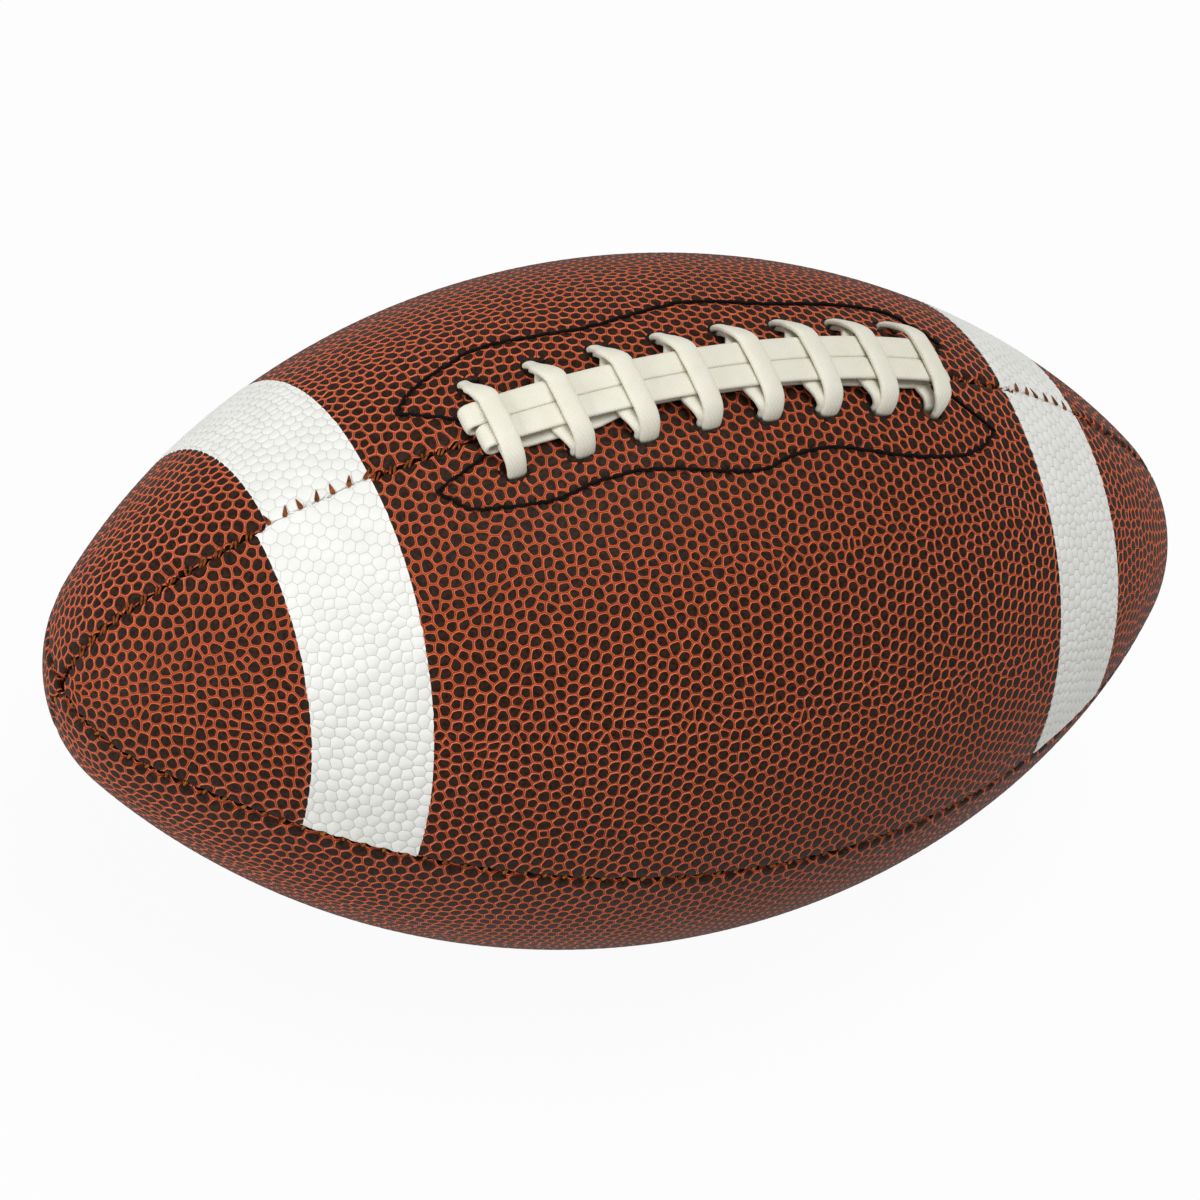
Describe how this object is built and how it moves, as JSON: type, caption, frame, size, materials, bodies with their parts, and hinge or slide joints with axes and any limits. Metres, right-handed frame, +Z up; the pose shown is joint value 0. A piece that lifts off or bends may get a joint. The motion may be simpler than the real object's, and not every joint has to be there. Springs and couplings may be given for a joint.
{
  "type": "american football",
  "caption": "Small laced football with a pebbled brown cover, white end stripes and flat ivory lacing; inflates through a needle valve.",
  "frame": {"origin": "centre of the ball, on its long axis", "axes": "X along the ball, +Z up through the laced seam, -Y towards the front side seam"},
  "size_m": [0.2578, 0.1416, 0.1482],
  "materials": {
    "cover": "pebbled composite, dark tops over rust-brown valleys, satin",
    "stripe_white": "white film over the pebbles, satin",
    "lace_ivory": "ivory lace with a fine woven texture, matt",
    "lining_fabric": "bonded woven lining, matt",
    "facing_backing": "smooth backing, matt",
    "facing_thread": "black sewing thread",
    "seam_thread": "tan waxed sewing thread",
    "bladder_rubber": "smooth butyl, matt",
    "valve_rubber": "moulded rubber, matt"
  },
  "bodies": {
    "root": {"lacing_panel_front": "cover", "lacing_panel_rear": "cover", "lower_panel_front": "cover", "lower_panel_rear": "cover", "stripe_front_left": "stripe_white", "stripe_front_right": "stripe_white", "stripe_rear_left": "stripe_white", "stripe_rear_right": "stripe_white", "lace": "lace_ivory", "lining_lacing_front": "lining_fabric", "lining_lacing_rear": "lining_fabric", "lining_lower_front": "lining_fabric", "lining_lower_rear": "lining_fabric", "lace_facing_front": "facing_backing", "lace_facing_rear": "facing_backing", "lace_tongue": "facing_backing", "valve_patch": "facing_backing", "facing_stitch_front": "facing_thread", "facing_stitch_rear": "facing_thread", "seam_thread_front": "seam_thread", "seam_thread_rear": "seam_thread", "seam_thread_bottom": "seam_thread", "seam_thread_top_left": "seam_thread", "seam_thread_top_right": "seam_thread", "bladder": "bladder_rubber", "valve_housing": "valve_rubber", "valve_plug": "valve_rubber"}
  },
  "joints": []
}
